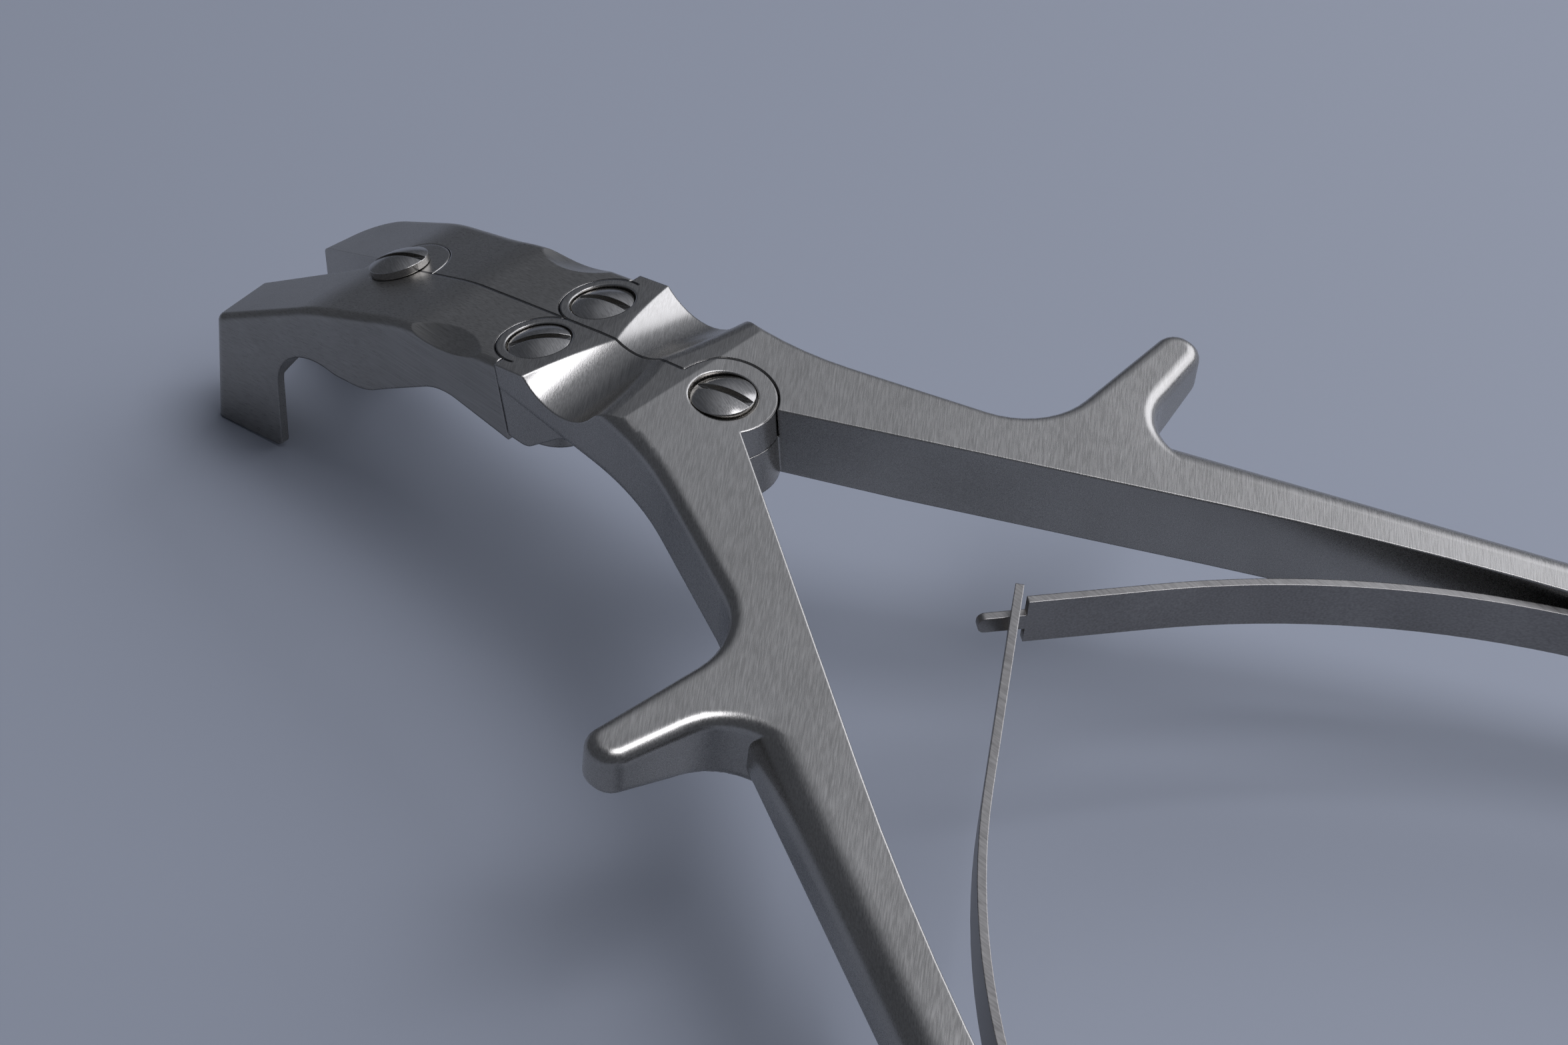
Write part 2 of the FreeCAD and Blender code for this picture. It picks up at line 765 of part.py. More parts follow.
def make_jaw(name, hand, upper, corner, shoulder):
    """A jaw: rear arm with its link ear, distal ear, and the hollow hooked beak."""
    body = new_body(name)
    sketch = new_sketch(body, "plan")
    draw_outline(sketch, jaw_outline(hand, corner))
    add_feature(body, "Pad", "arm", sketch, DEEP * 3, reverse=True)
    sketch = new_sketch(body, "bite", frame=pivots["distal"].frame(-DEEP))
    draw_outline(sketch, bite_outline(hand))
    add_feature(body, "Pocket", "bite_cut", sketch, DEEP * 4)
    sketch = new_sketch(body, "butt", "XZ_Plane")
    draw_outline(sketch, butt_outline(False))
    add_feature(body, "Pocket", "butt_cut", sketch, DEEP * 4, both=True)
    link = pivots["link_a"] if hand < 0 else pivots["link_b"]
    distal = pivots["distal"]
    gap = size.face_gap / 2
    disc(body, "Pad", "link_ear", link, size.lap_depth + gap, size.link_ear, DEEP, True)
    disc(body, "Pocket", "link_recess", link, size.lap_depth + gap,
         size.link_ear + size.ear_gap, DEEP, True)
    trim_split(body, hand, Size(0), size.link_reach)
    if upper:
        disc(body, "Pad", "distal_ear", distal, size.lap_depth - gap, size.distal_ear, DEEP, False)
        disc(body, "Pocket", "distal_recess", distal, size.lap_depth - gap,
             size.distal_ear + size.ear_gap, DEEP, False)
    else:
        disc(body, "Pad", "distal_ear", distal, size.lap_depth + gap, size.distal_ear, DEEP, True)
        disc(body, "Pocket", "distal_recess", distal, size.lap_depth + gap,
             size.distal_ear + size.ear_gap, DEEP, True)
    sketch = new_sketch(body, "top", "XZ_Plane")
    draw_outline(sketch, jaw_top())
    add_feature(body, "Pocket", "top_cut", sketch, DEEP * 4, both=True)
    round_edges(body, "shoulder", shoulder, is_jaw_shoulder)
    sketch = new_sketch(body, "bottom", "XZ_Plane")
    draw_outline(sketch, jaw_bottom())
    add_feature(body, "Pocket", "bottom_cut", sketch, DEEP * 4, both=True)
    hollow(body, hand)
    scoop = body.newObject("PartDesign::SubtractiveSphere", f"{name}_scoop")
    scoop.setExpression("Radius", size.scoop_radius.text)
    scoop.setExpression("AttachmentOffset.Base.x", size.scoop_x.text)
    scoop.setExpression("AttachmentOffset.Base.y", (size.scoop_side * hand).text)
    scoop.setExpression("AttachmentOffset.Base.z", size.scoop_z.text)
    scoop.AttachmentSupport = [(next(i for i in body.Origin.OriginFeatures if i.Role == "XY_Plane"), "")]
    scoop.MapMode = "ObjectXY"
    bore(body, "link_bore", link, False)
    bore(body, "distal_bore", distal, upper)
    doc.recompute()
    return body


def bore(body, name, pivot, upper):
    """A screw's hole through an ear. The upper ear also has the seat of the head."""
    radius = size.shank_radius + (size.shank_gap if upper else size.thread_gap)
    start = -size.bore_clear
    disc(body, "Pocket", name, pivot, start, radius, DEEP * 2, False)
    if upper:
        disc(body, "Pocket", f"{name}_seat", pivot, start, size.head_radius + size.head_ring,
             size.head_sink + size.bore_clear, False)


def screw_profile(head, shank, sink, dome, length):
    """Half section of a domed screw, with its axis up the sketch and the deck at zero."""
    reach = head * head + dome * dome
    crest = reach / (head * 2)
    nearly_round = reach / (dome * 2) * NEARLY
    return [(0, -length, 0), (shank, -length, 0), (shank, -sink, 0), (head, -sink, 0), (head, 0, 0),
            (crest, dome, nearly_round), (0, dome, 0)]


def make_screw(name, pivot, slot_angle):
    """A domed slotted pivot screw."""
    body = new_body(name)
    upright = "placement(vector(0; 0; 0); rotation(vector(1; 0; 0); 90))"
    sketch = new_sketch(body, "profile", frame=f"{pivot.frame(Size(0))} * {upright}")
    sink = size.head_sink - size.face_gap
    draw_outline(sketch, screw_profile(size.head_radius, size.shank_radius, sink, size.head_dome,
                                       size.pivot_screw_length))
    turn = body.newObject("PartDesign::Revolution", f"{name}_turned")
    turn.Profile = sketch
    turn.ReferenceAxis = (sketch, ["V_Axis"])
    turn.Angle = 360.0
    turned = f"placement(vector(0; 0; 0); rotation(vector(0; 0; 1); {slot_angle.text}))"
    sketch = new_sketch(body, "slot", frame=f"{pivot.frame(-size.head_dome * 2)} * {turned}")
    draw_slot(sketch, size.head_radius * 2, size.slot_width / 2)
    add_feature(body, "Pocket", "slot_cut", sketch, size.slot_depth + size.head_dome)
    doc.recompute()
    return body


def draw_slot(sketch, reach, half):
    draw_outline(sketch, [(-reach, -half, 0), (reach, -half, 0), (reach, half, 0), (-reach, half, 0)])


def inward_frame(hand, angle, radius):
    """Placement formula with its Z axis out of a handle's inner face, at mid-thickness."""
    x, y = on_grip(angle, radius)
    turn = angle + 180 if hand > 0 else -angle
    base = vector_text(x, y * hand, -size.grip_depth / 2)
    around = f"placement({base}; rotation(vector(0; 0; 1); {turn.text}))"
    return f"{around} * placement(vector(0; 0; 0); rotation(vector(1; 0; 0); -90))"


def is_valley_rear(point, hand):
    """Whether a point lies on the rear edge of the valley, on the flat part of the deck."""
    angle = math.radians(size.valley_angle.value)
    axis = V(0, math.cos(angle) * hand, -math.sin(angle))
    arm = point - V(size.valley_x.value, 0, size.valley_rise.value)
    reach = (arm - axis * arm.dot(axis)).Length
    middle = 1.0 < abs(point.y) < size.wall_side.value - size.front_round.value
    return abs(reach - size.valley_radius.value) < 0.01 and point.x > size.valley_x.value and middle


def trim_end(body, hand):
    """Round the far end of a handle in plan."""
    spare = size.end_spare
    half = size.grip_width / 2 + spare
    x, y = past_grip(size.grip_bend - spare)
    angle = size.grip_end_angle
    frame = f"placement({vector_text(x, y * hand, DEEP)}; rotation(vector(0; 0; 1); {(angle * hand).text}))"
    sketch = new_sketch(body, "end", frame=frame)
    past = half * 2
    draw_outline(sketch, [(x, y * hand, r) for x, y, r in (
        (-past, 0, 0), (0, 0, half * 0.98), (0, half * 2, half * 0.98), (-past, half * 2, 0),
        (-past, past + half, 0), (half, past + half, 0), (half, -half, 0), (-past, -half, 0))])
    add_feature(body, "Pocket", "end_cut", sketch, DEEP * 2)


def valley_frame(hand):
    """Placement formula, on a side-view plane, of the leaning axis of the polished valley."""
    base = vector_text(size.valley_x, size.valley_rise, 0)
    return f"placement({base}; rotation(vector(1; 0; 0); {(size.valley_angle * -hand).text}))"


def strip_outline(hand, tip_x, tip_y, tip_angle, seat):
    """Plan of a leaf spring: straight from its tip, then bent to lie along the handle's face."""
    half = size.strip_thickness / 2
    middle = size.grip_bend - size.spring_gap - half
    last = size.spring_end_angle
    seat_x, seat_y = on_grip(seat, middle)
    run = ((seat_y - tip_y) * cosine(seat) - (seat_x - tip_x) * sine(seat)) / sine(tip_angle - seat)
    bend_x = tip_x + run * cosine(tip_angle)
    bend_y = tip_y + run * sine(tip_angle)
    foot_x, foot_y = between(seat, last, middle)
    end_x, end_y = on_grip(last, middle)
    end_x = end_x + size.spring_tail * cosine(last)
    end_y = end_y + size.spring_tail * sine(last)

    def side(way):
        off = half * way
        corners = [(tip_x - off * sine(tip_angle), tip_y + off * cosine(tip_angle), Size(0))]
        for x, y, first, second, radius in ((bend_x, bend_y, tip_angle, seat, size.spring_bend),
                                            (foot_x, foot_y, seat, last, middle)):
            mid = (first + second) / 2
            out = off / cosine((first - second) / 2)
            corners.append((x - out * sine(mid), y + out * cosine(mid), radius + off))
        corners.append((end_x - off * sine(last), end_y + off * cosine(last), Size(0)))
        return corners

    corners = side(1) + side(-1)[::-1]
    return [(x, y * hand, r) for x, y, r in corners]


def tip_frame(hand, x, y, angle):
    """Placement formula, on a side-view plane, that runs along a spring from its tip."""
    base = vector_text(x, -size.grip_depth / 2, -y * hand)
    return f"placement({base}; rotation(vector(0; 1; 0); {(angle * hand).text}))"


def is_tongue_corner(point, edge):
    """Whether an edge is one of the two short ones at the end of the tongue."""
    reach = math.hypot(point.x - size.spring_b_tip_x.value, point.y - size.spring_b_tip_y.value)
    return reach < size.tongue_round.value and edge.Length < size.tongue_height.value / 2


def make_spring(name, hand):
    """A leaf spring. Spring A ends in a window and spring B in a tongue that passes through it."""
    body = new_body(name)
    if hand < 0:
        tip = (size.spring_a_tip_x, size.spring_a_tip_y, size.spring_a_tip_angle)
        seat = size.spring_a_seat_angle
    else:
        tip = (size.spring_b_tip_x, size.spring_b_tip_y, size.spring_b_tip_angle)
        seat = size.spring_b_seat_angle
    sketch = new_sketch(body, "plan", frame=level_frame((size.grip_depth - size.strip_width) / 2))
    draw_outline(sketch, strip_outline(hand, *tip, seat))
    add_feature(body, "Pad", "strip", sketch, size.strip_width, reverse=True)
    sketch = new_sketch(body, "end", "XZ_Plane", tip_frame(hand, *tip))
    high = size.strip_width
    if hand < 0:
        low = size.window_height / 2
        near = size.window_start
        far = near + size.window_length
        draw_outline(sketch, [(near, -low, 0), (far, -low, 0), (far, low, 0), (near, low, 0)])
    else:
        low = size.tongue_height / 2
        far = size.tongue_length
        near = -size.strip_thickness
        ahead = near * 2
        draw_outline(sketch, [(near, low, 0), (far, low, 0), (far, high, 0), (ahead, high, 0),
                              (ahead, -high, 0), (far, -high, 0), (far, -low, 0), (near, -low, 0)])
    add_feature(body, "Pocket", "end_cut", sketch, size.strip_width, both=True)
    if hand > 0:
        round_edges(body, "tongue", size.tongue_round, lambda point, edge: is_tongue_corner(point, edge))
    frame = inward_frame(hand, size.spring_screw_angle, size.grip_bend)
    sketch = new_sketch(body, "hole", frame=frame)
    draw_circle(sketch, size.spring_screw_shank + size.thread_gap)
    add_feature(body, "Pocket", "hole_cut", sketch, size.strip_width, both=True)
    doc.recompute()
    return body


def make_spring_screw(name, hand):
    """The small slotted screw that holds a leaf spring to its handle."""
    body = new_body(name)
    frame = inward_frame(hand, size.spring_screw_angle, size.grip_bend)
    upright = "placement(vector(0; 0; 0); rotation(vector(1; 0; 0); 90))"
    sketch = new_sketch(body, "profile", frame=f"{frame} * {upright}")
    seat = size.strip_thickness + 2 * size.spring_gap
    top = seat + size.spring_screw_rise
    bevel = size.spring_screw_rise / 2
    length = size.spring_screw_length - size.spring_gap
    head, shank = size.spring_screw_head, size.spring_screw_shank
    draw_outline(sketch, [(0, -length, 0), (shank, -length, 0), (shank, seat, 0), (head, seat, 0),
                          (head, top - bevel, 0), (head - bevel, top, 0), (0, top, 0)])
    turn = body.newObject("PartDesign::Revolution", f"{name}_turned")
    turn.Profile = sketch
    turn.ReferenceAxis = (sketch, ["V_Axis"])
    turn.Angle = 360.0
    lift = vector_text(0, 0, top + size.spring_screw_rise)
    lifted = f"placement({lift}; rotation(vector(0; 0; 1); {size.spring_slot_angle.text}))"
    sketch = new_sketch(body, "slot", frame=f"{frame} * {lifted}")
    draw_slot(sketch, head * 2, size.spring_slot_width / 2)
    add_feature(body, "Pocket", "slot_cut", sketch, size.spring_screw_rise + bevel)
    doc.recompute()
    return body


def lying_placement(shapes):
    """Placement that lays the open shears on their four lowest points, centred on the origin."""
    reach = size.nose_reach + size.distal_reach
    end_x, _ = past_grip(size.grip_bend)
    angle = arctangent((size.prong_bottom - size.grip_depth) / (end_x + reach)).value
    turned = FreeCAD.Placement(V(0, 0, 0), FreeCAD.Rotation(V(0, 1, 0), angle))
    boxes = []
    for shape in shapes:
        copy = shape.copy()
        copy.Placement = turned.multiply(copy.Placement)
        boxes.append(copy.optimalBoundingBox(False, False))
    middle_x = (min(b.XMin for b in boxes) + max(b.XMax for b in boxes)) / 2
    middle_y = (min(b.YMin for b in boxes) + max(b.YMax for b in boxes)) / 2
    low = min(b.ZMin for b in boxes)
    return FreeCAD.Placement(V(-middle_x, -middle_y, -low), turned.Rotation)


def check_document():
    """Stop if any object of the document failed."""
    for item in doc.Objects:
        if "Invalid" in item.State or "Error" in item.State:
            raise RuntimeError(f"{item.Name} failed: {item.State}")


pivots = make_pivots()
pieces = [
    make_handle("handle_a", -1, True),
    make_handle("handle_b", 1, False),
    make_jaw("jaw_a", -1, True, size.nose_corner_a, size.jaw_round_a),
    make_jaw("jaw_b", 1, False, size.nose_corner_b, size.jaw_round_b),
    make_screw("proximal_pivot_screw", pivots["proximal"], size.proximal_slot_angle),
    make_screw("link_screw_a", pivots["link_a"], size.link_a_slot_angle),
    make_screw("link_screw_b", pivots["link_b"], size.link_b_slot_angle),
    make_screw("distal_pivot_screw", pivots["distal"], size.distal_slot_angle),
    make_spring("leaf_spring_a", -1),
    make_spring("leaf_spring_b", 1),
    make_spring_screw("spring_screw_a", -1),
    make_spring_screw("spring_screw_b", 1),
]

doc.recompute()
check_document()
placement = lying_placement([piece.Shape for piece in pieces])
print("lying placement", placement)
for piece in pieces:
    piece.Placement = placement
doc.recompute()
check_document()
os.makedirs("parts", exist_ok=True)
for piece in pieces:
    if piece.Shape.isNull() or not piece.Shape.isValid():
        raise RuntimeError(f"{piece.Label} has no valid shape")
    print(piece.Label, round(piece.Shape.Volume, 1), len(piece.Shape.Solids))
    piece.Shape.exportStep(f"parts/{piece.Label}.step")
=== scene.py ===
"""Looks of a pair of double-action rib shears: steel finishes, a plain studio and the camera."""

import json
import logging
from dataclasses import dataclass, field, replace
from enum import Enum
from math import radians

import bmesh
import bpy
from mathutils import Matrix, Vector

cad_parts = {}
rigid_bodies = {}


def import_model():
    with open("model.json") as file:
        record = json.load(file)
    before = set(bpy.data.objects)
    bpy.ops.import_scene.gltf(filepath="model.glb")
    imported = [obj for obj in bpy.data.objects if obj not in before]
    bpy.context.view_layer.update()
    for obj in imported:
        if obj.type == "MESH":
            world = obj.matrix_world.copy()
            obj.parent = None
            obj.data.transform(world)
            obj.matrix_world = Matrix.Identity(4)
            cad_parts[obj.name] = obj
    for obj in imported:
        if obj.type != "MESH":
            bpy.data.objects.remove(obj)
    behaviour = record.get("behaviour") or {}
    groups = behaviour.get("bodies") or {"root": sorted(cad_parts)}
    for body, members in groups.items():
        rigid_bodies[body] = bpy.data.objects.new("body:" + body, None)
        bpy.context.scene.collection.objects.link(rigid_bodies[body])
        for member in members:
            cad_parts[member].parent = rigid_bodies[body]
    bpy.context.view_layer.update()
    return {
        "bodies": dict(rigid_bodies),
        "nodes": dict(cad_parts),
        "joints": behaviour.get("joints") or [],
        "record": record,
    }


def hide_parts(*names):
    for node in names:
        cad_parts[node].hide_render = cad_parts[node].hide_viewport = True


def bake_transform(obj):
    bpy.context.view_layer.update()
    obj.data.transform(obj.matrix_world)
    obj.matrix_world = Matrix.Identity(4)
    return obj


log = logging.getLogger("rib_shears")

MM = 0.001
RIGHT_ANGLE = 90.0
TO_JAWS = (-1.0, 0.0, 0.0)
TO_SIDE_B = (0.0, 1.0, 0.0)
SIDES = ("a", "b")
LINK_JOINTS = ("jaw_a_swing", "jaw_b_swing")

# The sRGB curve: a straight foot, then a power curve.
SRGB_STEPS = 255
SRGB_FOOT = 0.04045
SRGB_FOOT_SLOPE = 12.92
SRGB_OFFSET = 0.055
SRGB_POWER = 2.4


class Grain(Enum):
    """The way in which the brushing lines run over a finish, as an angle about Z."""

    ACROSS = 52.0
    ALONG = 0.0
    DOME = 20.0


def srgb(code: str) -> tuple[float, float, float, float]:
    """Turn an sRGB hex colour into linear values.

    Args:
        code: Six hex digits after a hash sign.

    Returns:
        Red, green, blue and an alpha of one.
    """
    parts = (int(code[i:i + 2], 16) / SRGB_STEPS for i in (1, 3, 5))
    red, green, blue = (
        part / SRGB_FOOT_SLOPE if part <= SRGB_FOOT
        else ((part + SRGB_OFFSET) / (1 + SRGB_OFFSET)) ** SRGB_POWER
        for part in parts)
    return red, green, blue, 1.0


def add_node(tree: bpy.types.NodeTree, kind: str, settings: dict | None = None,
             **links: object) -> bpy.types.Node:
    """Add a shader node with its settings, socket values and links.

    Args:
        tree: The node tree that gets the node.
        kind: The node's type name without its prefix.
        settings: Properties of the node itself.
        links: A socket's name, with underscores for spaces, or the letter i and its number, each
            with a value or an output socket.

    Returns:
        The new node.
    """
    node = tree.nodes.new("ShaderNode" + kind)
    for name, value in (settings or {}).items():
        setattr(node, name, value)
    for name, value in links.items():
        numbered = name[0] == "i" and name[1:].isdigit()
        socket = node.inputs[int(name[1:]) if numbered else name.replace("_", " ")]
        if isinstance(value, bpy.types.NodeSocket):
            tree.links.new(value, socket)
        else:
            socket.default_value = value
    return node


def calculate(tree: bpy.types.NodeTree, operation: str, *values: object) -> bpy.types.NodeSocket:
    """Work out a number from others.

    Args:
        tree: The node tree that gets the node.
        operation: The name of the sum.
        values: Numbers or output sockets.

    Returns:
        The result.
    """
    inputs = {f"i{number}": value for number, value in enumerate(values)}
    return add_node(tree, "Math", {"operation": operation}, **inputs).outputs["Value"]


def measure(tree: bpy.types.NodeTree, operation: str, *values: object) -> bpy.types.NodeSocket:
    """Work out a number from vectors.

    Args:
        tree: The node tree that gets the node.
        operation: The name of the sum, which gives a number.
        values: Vectors or output sockets.

    Returns:
        The result.
    """
    inputs = {f"i{number}": value for number, value in enumerate(values)}
    return add_node(tree, "VectorMath", {"operation": operation}, **inputs).outputs["Value"]


def remap(tree: bpy.types.NodeTree, value: object, span: tuple[float, float],
          result: tuple[float, float] = (0.0, 1.0), curve: str = "LINEAR") -> bpy.types.NodeSocket:
    """Carry a number over from one span to another and hold it at both ends.

    Args:
        tree: The node tree that gets the node.
        value: The number.
        span: The values at which the result begins and ends.
        result: The results there.
        curve: The way between them.

    Returns:
        The result.
    """
    ranged = add_node(tree, "MapRange", {"interpolation_type": curve}, Value=value,
                      From_Min=span[0], From_Max=span[1], To_Min=result[0], To_Max=result[1])
    return ranged.outputs["Result"]


def mix_colours(tree: bpy.types.NodeTree, below: object, above: object,
                share: bpy.types.NodeSocket) -> bpy.types.NodeSocket:
    """Mix two colours.

    Args:
        tree: The node tree that gets the node.
        below: The colour where the share is zero.
        above: The colour where the share is one.
        share: The mask.

    Returns:
        The mixed colour.
    """
    # A Mix node has several sockets called A, B and Result, so those of its colours go by number.
    mixed = add_node(tree, "Mix", {"data_type": "RGBA"}, i0=share, i6=below, i7=above)
    return mixed.outputs[2]


def empty_tree(owner: bpy.types.Material | bpy.types.World) -> bpy.types.NodeTree:
    """Give a material or a world a node tree without nodes.

    Args:
        owner: The material or the world.

    Returns:
        Its node tree.
    """
    owner.use_nodes = True
    owner.node_tree.nodes.clear()
    return owner.node_tree


def put(name: str, data: bpy.types.ID) -> bpy.types.Object:
    """Put a mesh, a lamp or a camera into the scene.

    Args:
        name: The name of the object.
        data: The mesh, the lamp or the camera.

    Returns:
        The new object.
    """
    made = bpy.data.objects.new(name, data)
    bpy.context.scene.collection.objects.link(made)
    return made


@dataclass(frozen=True)
class PaintedGapShade:
    """A painted shade line in the gap where two parts meet: a ring round a pivot where two ears
    meet, or the middle plane of the tool if it has no radius.

    It shows only on one side of its centre: where the side vector points, from start_mm on.

    Attributes:
        core: The share of half_width_mm where the painted shade is at its darkest.
        reach: How many times half_width_mm away it has gone.
    """

    centre: tuple[float, float, float]
    axis: tuple[float, float, float]
    side: tuple[float, float, float]
    start_mm: float = 0.0
    radius_mm: float = 0.0
    half_width_mm: float = 0.15
    core: float = 0.6
    reach: float = 1.6
    start_fade_mm: float = 0.3

    def offset(self, tree: bpy.types.NodeTree, place: bpy.types.NodeSocket,
               arm: bpy.types.NodeSocket) -> bpy.types.NodeSocket:
        """Measure how far a point lies outside the ring, or to which side of the middle plane.

        Args:
            tree: The material's node tree.
            place: The point.
            arm: The way to it from the seam's centre.

        Returns:
            The distance in metres, with its sign.
        """
        if not self.radius_mm:
            return add_node(tree, "SeparateXYZ", Vector=place).outputs["Y"]
        lever = add_node(tree, "VectorMath", {"operation": "CROSS_PRODUCT"}, i0=arm, i1=self.axis)
        distance = measure(tree, "LENGTH", lever.outputs["Vector"])
        return calculate(tree, "SUBTRACT", distance, self.radius_mm * MM)

    def mask(self, tree: bpy.types.NodeTree, place: bpy.types.NodeSocket) -> bpy.types.NodeSocket:
        """Show where the painted shade line runs.

        Args:
            tree: The material's node tree.
            place: The point.

        Returns:
            One on the painted shade line, falling to zero beside it.
        """
        step = add_node(tree, "VectorMath", {"operation": "SUBTRACT"}, i0=place, i1=self.centre)
        arm = step.outputs["Vector"]
        gap = calculate(tree, "ABSOLUTE", self.offset(tree, place, arm))
        width = (self.half_width_mm * self.core * MM, self.half_width_mm * self.reach * MM)
        line = remap(tree, gap, width, (1.0, 0.0), "SMOOTHSTEP")
        ahead = measure(tree, "DOT_PRODUCT", arm, self.side)
        start = (self.start_mm * MM, (self.start_mm + self.start_fade_mm) * MM)
        return calculate(tree, "MULTIPLY", line, remap(tree, ahead, start))


@dataclass(frozen=True)
class BrushedSteel:
    """A stainless steel surface: ground, then brushed with a belt of one grit.

    Attributes:
        line_mm: The width of a brushing line.
        run_mm: Its length.
        depth: The strength of the lines, which are at most groove_mm deep.
        cloud_mm: The size of the patches that change the tone slowly.
        tone_span: The sum of line and cloud at which the tone is dark, and at which it is light.
        streak_span: The height of a line at which the roughness begins and ends to change.
        roughness_change: The change of roughness at those heights.
        polish: How much smoother a worn edge is.
        edge_mm: The radius of the rounding at edges.
        sheen_and_polish_cosines: The cosines of the rounded normal's turn at which the edges' painted
            highlight
        and polish begin and are full.
        level_cosines: The cosines of a face's slope at which the painted shade lines begin to show
        and show fully.
    """

    name: str
    light: str
    dark: str
    roughness: float
    grain: Grain
    line_mm: float
    run_mm: float
    depth: float
    groove_mm: float = 0.02
    line_detail: float = 3.0
    cloud_mm: float = 9.0
    cloud_detail: float = 2.0
    cloud_share: float = 0.5
    tone_span: tuple[float, float] = (0.5, 1.0)
    streak_span: tuple[float, float] = (0.3, 0.7)
    roughness_change: tuple[float, float] = (-0.04, 0.05)
    polish: float = 0.1
    edge_mm: float = 0.35
    edge_samples: int = 8
    sheen_and_polish_cosines: tuple[float, float] = (0.98, 0.85)
    level_cosines: tuple[float, float] = (0.55, 0.7)
    painted_gap_shades: tuple[PaintedGapShade, ...] = ()
    # Painted shade: the dark colour of the lines in the gaps where parts meet.
    painted_gap_shade_colour: str = "#1f1e1e"

    def streaks(self, tree: bpy.types.NodeTree, place: bpy.types.NodeSocket) -> bpy.types.NodeSocket:
        """Lay the brushing lines.

        Args:
            tree: The material's node tree.
            place: The point.

        Returns:
            The height of the brushed surface, from zero to one.
        """
        turned = add_node(tree, "Mapping", {"vector_type": "POINT"}, Vector=place,
                          Rotation=(0.0, 0.0, radians(self.grain.value)))
        stretch = (1 / (self.run_mm * MM), 1 / (self.line_mm * MM), 1 / (self.line_mm * MM))
        lines = add_node(tree, "Mapping", {"vector_type": "POINT"},
                         Vector=turned.outputs["Vector"], Scale=stretch)
        noise = add_node(tree, "TexNoise", Vector=lines.outputs["Vector"], Scale=1.0,
                         Detail=self.line_detail)
        return noise.outputs["Fac"]

    def painted_sheen_and_polish(self, tree: bpy.types.NodeTree, rounded: bpy.types.NodeSocket) -> bpy.types.NodeSocket:
        """Find the sharp edges: their colour is lightened as a painted highlight, and their roughness
            is lowered for the polish of handling and the polishing wheel.

        Args:
            tree: The material's node tree.
            rounded: The normal, rounded at edges.

        Returns:
            One at a sharp edge, falling to zero on flat and gently curved faces.
        """
        face = add_node(tree, "NewGeometry")
        same = measure(tree, "DOT_PRODUCT", rounded, face.outputs["Normal"])
        return remap(tree, same, self.sheen_and_polish_cosines)

    def painted_gap_shade(self, tree: bpy.types.NodeTree, place: bpy.types.NodeSocket) -> bpy.types.NodeSocket:
        """Join the masks of all painted shade lines where parts meet, on upward faces only.

        Args:
            tree: The material's node tree.
            place: The point.

        Returns:
            One on a painted shade line, zero elsewhere.
        """
        face = add_node(tree, "NewGeometry")
        upward = add_node(tree, "SeparateXYZ", Vector=face.outputs["Normal"]).outputs["Z"]
        total, *others = (line.mask(tree, place) for line in self.painted_gap_shades)
        for mask in others:
            total = calculate(tree, "MAXIMUM", total, mask)
        return calculate(tree, "MULTIPLY", total, remap(tree, upward, self.level_cosines))

    def material(self) -> bpy.types.Material:
        """Make the material.

        Returns:
            A metal with brushing lines, edges lightened as a painted highlight and painted shade lines
            where parts meet.
        """
        made = bpy.data.materials.new(self.name)
        tree = empty_tree(made)
        place = add_node(tree, "TexCoord").outputs["Object"]
        streak = self.streaks(tree, place)
        cloud = add_node(tree, "TexNoise", Vector=place, Scale=1 / (self.cloud_mm * MM),
                         Detail=self.cloud_detail)
        uneven = calculate(tree, "MULTIPLY_ADD", cloud.outputs["Fac"], self.cloud_share, streak)
        colour = mix_colours(tree, srgb(self.dark), srgb(self.light), remap(tree, uneven, self.tone_span))
        bevel = add_node(tree, "Bevel", {"samples": self.edge_samples}, Radius=self.edge_mm * MM)
        rounded = bevel.outputs["Normal"]
        painted_sheen_and_polish = self.painted_sheen_and_polish(tree, rounded)
        # Painted highlight: sharp edges are lightened towards the light tone.
        colour = mix_colours(tree, colour, srgb(self.light), painted_sheen_and_polish)
        if self.painted_gap_shades:
            # Painted shade: darken the lines where parts meet, on upward faces.
            colour = mix_colours(tree, colour, srgb(self.painted_gap_shade_colour), self.painted_gap_shade(tree, place))
        limits = tuple(self.roughness + change for change in self.roughness_change)
        rough = remap(tree, streak, self.streak_span, limits)
        worn = calculate(tree, "MULTIPLY_ADD", painted_sheen_and_polish, -self.polish, rough)
        bump = add_node(tree, "Bump", Height=streak, Normal=rounded, Strength=self.depth,
                        Distance=self.groove_mm * MM)
        steel = add_node(tree, "BsdfPrincipled", Base_Color=colour, Metallic=1.0, Roughness=worn,
                         Normal=bump.outputs["Normal"])
        add_node(tree, "OutputMaterial", Surface=steel.outputs["BSDF"])
        return made


@dataclass
class Assembly:
    """A group of CAD nodes that share finishes."""

    frame: dict

    def pivot(self, joint: str) -> tuple[tuple[float, ...], tuple[float, ...]]:
        """Find a pivot of the tool.

        Args:
            joint: The joint's name.

        Returns:
            A point on its axis and the axis, in metres.
        """
        found = next(j for j in self.frame["joints"] if j["name"] == joint)
        return tuple(found["pos_m"]), tuple(found["axis"])

    def dress(self, node: str, finish: bpy.types.Material) -> None:
        """Give a CAD node its finish.

        Args:
            node: The node's name.
            finish: The material for all of it.
        """
        shown = self.frame["nodes"][node]
        shown.data.materials.clear()
        shown.data.materials.append(finish)
        log.info("%s: %s", node, finish.name)


